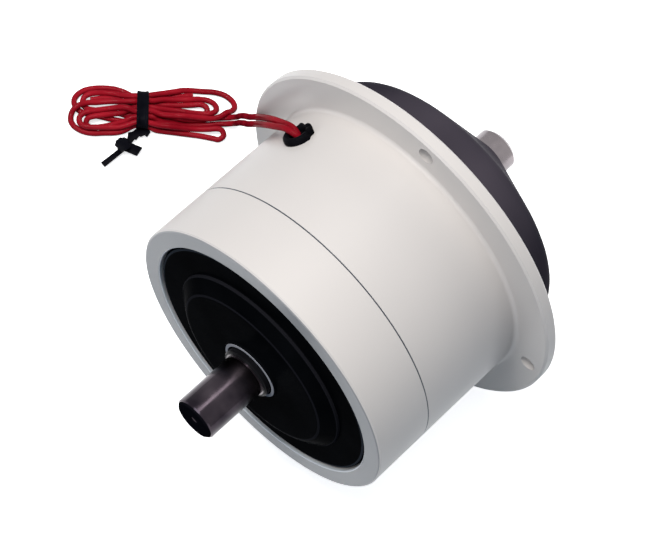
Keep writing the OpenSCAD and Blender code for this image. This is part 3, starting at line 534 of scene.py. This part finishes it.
def makeFinish(name, look):
    material = bpy.data.materials.new(name)
    material.use_nodes = True
    tree = material.node_tree
    shader = tree.nodes["Principled BSDF"]
    coords = addNode(tree, "ShaderNodeTexCoord").outputs["Object"]
    station, radius, height = placeOnClutch(tree, coords)
    patches = noiseAt(tree, coords, look["patch"], surfaceLook["patchDetail"])
    colour = mixColour(tree, spread(tree, patches, 0, 1), look["dark"], look["light"])
    for stations, radii, zoneColour in look.get("zones", {}).values():
        alongAxis, outFromAxis = isBetween(tree, station, stations), isBetween(tree, radius, radii)
        colour = mixColour(tree, calculate(tree, "MULTIPLY", alongAxis, outFromAxis), colour, zoneColour)
    tree.links.new(colour, shader.inputs["Base Color"])
    wear = noiseAt(tree, coords, look["patch"] * surfaceLook["wearFiner"], surfaceLook["wearDetail"])
    tree.links.new(spread(tree, wear, *look["rough"]), shader.inputs["Roughness"])
    shader.inputs["Metallic"].default_value = look.get("metal", 0)
    if "notMetal" in look:
        stations = look["zones"][look["notMetal"]][0]
        behindZone = calculate(tree, "GREATER_THAN", station, stations[1] * mm)
        tree.links.new(behindZone, shader.inputs["Metallic"])
    if "gloss" in look:
        gloss = look["gloss"]
        matt = isBetween(tree, height, gloss["noneHeight"])
        tree.links.new(spread(tree, matt, gloss["weight"], 0, 0, 1), shader.inputs["Coat Weight"])
        shader.inputs["Coat Roughness"].default_value = gloss["rough"]
    shader.inputs["Specular IOR Level"].default_value = look.get("shine", 0.5)
    grainScale, grainStrength = look["grain"]
    normal = bumpOver(tree, noiseAt(tree, coords, grainScale), grainStrength, surfaceLook["grainDepth"])
    if "turned" in look:
        # fine grooves of the lathe follow the radius on faces and the axis on sides
        pitch, strength = look["turned"]
        grooves = addNode(tree, "ShaderNodeTexNoise", noise_dimensions="1D", Scale=1 / (pitch * mm))
        tree.links.new(calculate(tree, "ADD", station, radius), grooves.inputs["W"])
        normal = bumpOver(tree, grooves.outputs["Fac"], strength, surfaceLook["grooveDepth"], normal)
    tree.links.new(normal, shader.inputs["Normal"])
    return material


materials = {name: makeFinish(name, look) for name, look in finishes.items()}

nodeFinishes = {
    "housingPaint": ("rear_housing", "front_ring"),
    "discPaint": ("front_disc",),
    "coverPaint": ("rear_cover",),
    "frontShaftSteel": ("front_shaft",),
    "rearShaftSteel": ("output_shaft",),
    "collarBlack": ("shaft_collar",),
    "machinedSteel": ("drum_front", "drum_rear", "drum_end_plate", "front_shield", "rear_shield",
                      "rotor", "rotor_key", "rotor_spacer", "cover_screws", "drum_screws"),
    "springSteel": ("rotor_circlip", "bearing_circlip", "nose_circlip"),
    "bearingSteel": tuple(f"{place}_bearing_{part}" for place in ("drum", "front", "rear")
                          for part in ("outer", "inner", "balls")),
    "cageBrass": ("drum_bearing_cage", "front_bearing_cage", "rear_bearing_cage"),
    "middleBronze": ("drum_middle", "pilot_bush"),
    "windingCopper": ("coil_winding",),
    "bobbinNylon": ("coil_bobbin",),
    "ironPowder": ("magnetic_powder",),
    "wornFelt": ("cover_felt_ring",),
}
for finishName, names in nodeFinishes.items():
    for nodeName in names:
        slots = nodes[nodeName].data.materials
        slots.clear()
        slots.append(materials[finishName])
print("finishes on", sum(len(names) for names in nodeFinishes.values()), "parts")

for lead in leads:
    lead.data.materials.append(materials["leadRed"])
tie.data.materials.append(materials["tieNylon"])
grommet.data.materials.append(materials["grommetRubber"])

# light, floor and world
studioLook = {
    "floorSize": 1.7,
    "floorRough": 0.9,
    "floorSeen": (0.95, 0.95, 0.955),  # its colour and glow for the camera and in reflections
    "floorGlow": 0.68,
    "floorBounce": (0.02, 0.07, 0.12),  # its colour in the light that it throws on the clutch
    "ambient": (0.25, 0.28, 0.32),
    "lamps": {  # place, size in metres, watts, colour
        "keyLamp": ((-0.32, -0.14, 1.45), 1.0, 18, (1, 0.965, 0.93)),
        "glintLamp": ((-0.3, -0.45, 1.35), 0.1, 2.5, (1, 0.97, 0.94)),
        "frontLamp": ((-0.25, -1.2, 0.5), 0.5, 3.8, (0.96, 0.98, 1)),
        "backLamp": ((0.3, 1.2, 0.6), 0.7, 4, (1, 0.98, 0.96)),
    },
}


def rayIsSeen(tree):
    # camera, glossy and transmission rays see the plain background
    path = addNode(tree, "ShaderNodeLightPath").outputs
    seen = calculate(tree, "MAXIMUM", path["Is Camera Ray"], path["Is Glossy Ray"])
    return calculate(tree, "MAXIMUM", seen, path["Is Transmission Ray"])


def makeFloor(look):
    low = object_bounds()[0].z
    half = look["floorSize"] / 2
    data = bpy.data.meshes.new("benchTop")
    data.from_pydata([(-half, -half, low), (half, -half, low), (half, half, low), (-half, half, low)],
                     [], [(0, 1, 2, 3)])
    floor = bpy.data.objects.new("benchTop", data)
    scene.collection.objects.link(floor)
    floor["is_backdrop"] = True
    material = bpy.data.materials.new("benchTop")
    material.use_nodes = True
    tree = material.node_tree
    shader = tree.nodes["Principled BSDF"]
    shader.inputs["Roughness"].default_value = look["floorRough"]
    shader.inputs["Specular IOR Level"].default_value = 0
    seen = rayIsSeen(tree)
    tree.links.new(mixColour(tree, seen, look["floorBounce"], look["floorSeen"]), shader.inputs["Base Color"])
    shader.inputs["Emission Color"].default_value = (1, 1, 1, 1)
    tree.links.new(calculate(tree, "MULTIPLY", seen, look["floorGlow"]), shader.inputs["Emission Strength"])
    data.materials.append(material)


def makeWorld(look):
    world = bpy.data.worlds.new("studio")
    scene.world = world
    world.use_nodes = True
    tree = world.node_tree
    tree.links.new(mixColour(tree, rayIsSeen(tree), look["ambient"], (1, 1, 1)),
                   tree.nodes["Background"].inputs["Color"])


def makeLamps(look):
    # all lamps look at the clutch
    for name, (place, size, watts, colour) in look["lamps"].items():
        lamp = bpy.data.lights.new(name, "AREA")
        lamp.size, lamp.energy, lamp.color = size, watts, colour
        holder = bpy.data.objects.new(name, lamp)
        scene.collection.objects.link(holder)
        holder.location = place
        holder.rotation_euler = (-Vector(place)).to_track_quat("-Z", "Y").to_euler()


makeFloor(studioLook)
makeWorld(studioLook)
makeLamps(studioLook)
print("studio ready")
